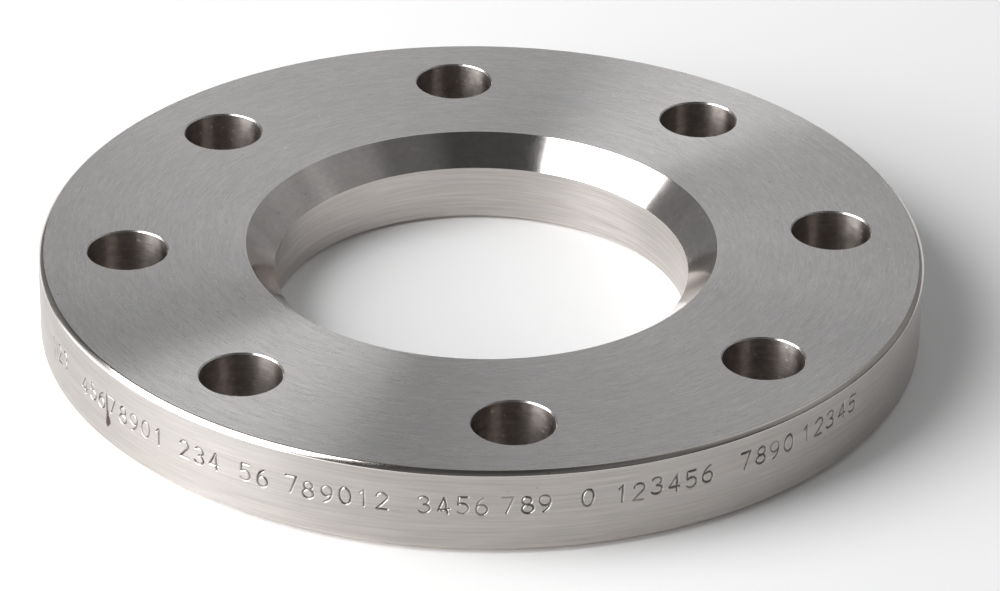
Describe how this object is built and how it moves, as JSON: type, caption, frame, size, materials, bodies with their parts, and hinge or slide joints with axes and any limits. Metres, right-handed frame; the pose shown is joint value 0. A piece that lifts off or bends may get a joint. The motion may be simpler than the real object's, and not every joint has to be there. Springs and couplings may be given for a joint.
{
  "type": "lap joint flange",
  "caption": "Flat loose ring flange for a lapped pipe end: plain back, bore with a seat cone at the front, and a circle of bolt holes.",
  "frame": {"origin": "centre of the plain back face, on the bore's axis", "axes": "+Z along the bore's axis, out of the front face with the seat cone. The bolt holes straddle X and Y: the first is 22.5 degrees from +X towards +Y."},
  "size_m": [0.2, 0.2, 0.02],
  "materials": {
    "stainless_steel": "turned on all faces, with fine concentric tool lines and a smoother, brighter seat cone"
  },
  "bodies": {
    "root": {"flange": "stainless_steel"}
  },
  "joints": []
}
